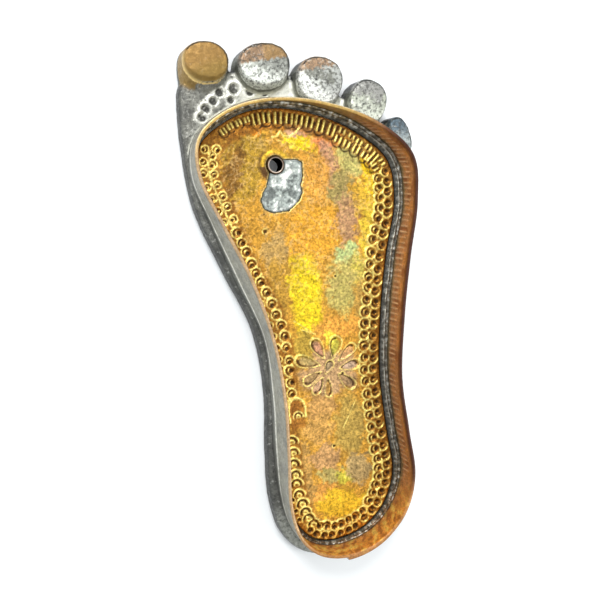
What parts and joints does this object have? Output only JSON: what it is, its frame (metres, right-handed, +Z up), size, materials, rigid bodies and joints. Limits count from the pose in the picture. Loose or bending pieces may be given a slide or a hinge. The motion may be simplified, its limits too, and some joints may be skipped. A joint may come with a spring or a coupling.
{
  "type": "paduka sandal with toe knob seat",
  "caption": "Foot-shaped cast metal paduka, right foot, with raised toe buttons, a thin open rim wall and a punched gilt footbed; its toe knob is missing from the hole.",
  "frame": {"origin": "middle of the bounding box on the plane that the underside stands on", "axes": "+X to the outer side of the foot, +Y from heel to toes along the foot, +Z up"},
  "size_m": [0.1122, 0.25, 0.0265],
  "materials": {
    "base_metal": "silvered casting, pitted, worn to bronze on the toes",
    "rim_brass": "copper-brown patina inside, grey silvering outside",
    "gilt_sheet": "gilt sheet, punched, with iridescent tarnish",
    "seam_solder": "dark oxidised solder",
    "bare_solder": "bare crackled solder",
    "socket_metal": "worn ferrule"
  },
  "bodies": {
    "root": {"sole": "base_metal", "rim_wall": "rim_brass", "footbed": "gilt_sheet", "solder_seam": "seam_solder", "knob_solder": "bare_solder", "knob_socket": "socket_metal"}
  },
  "joints": []
}
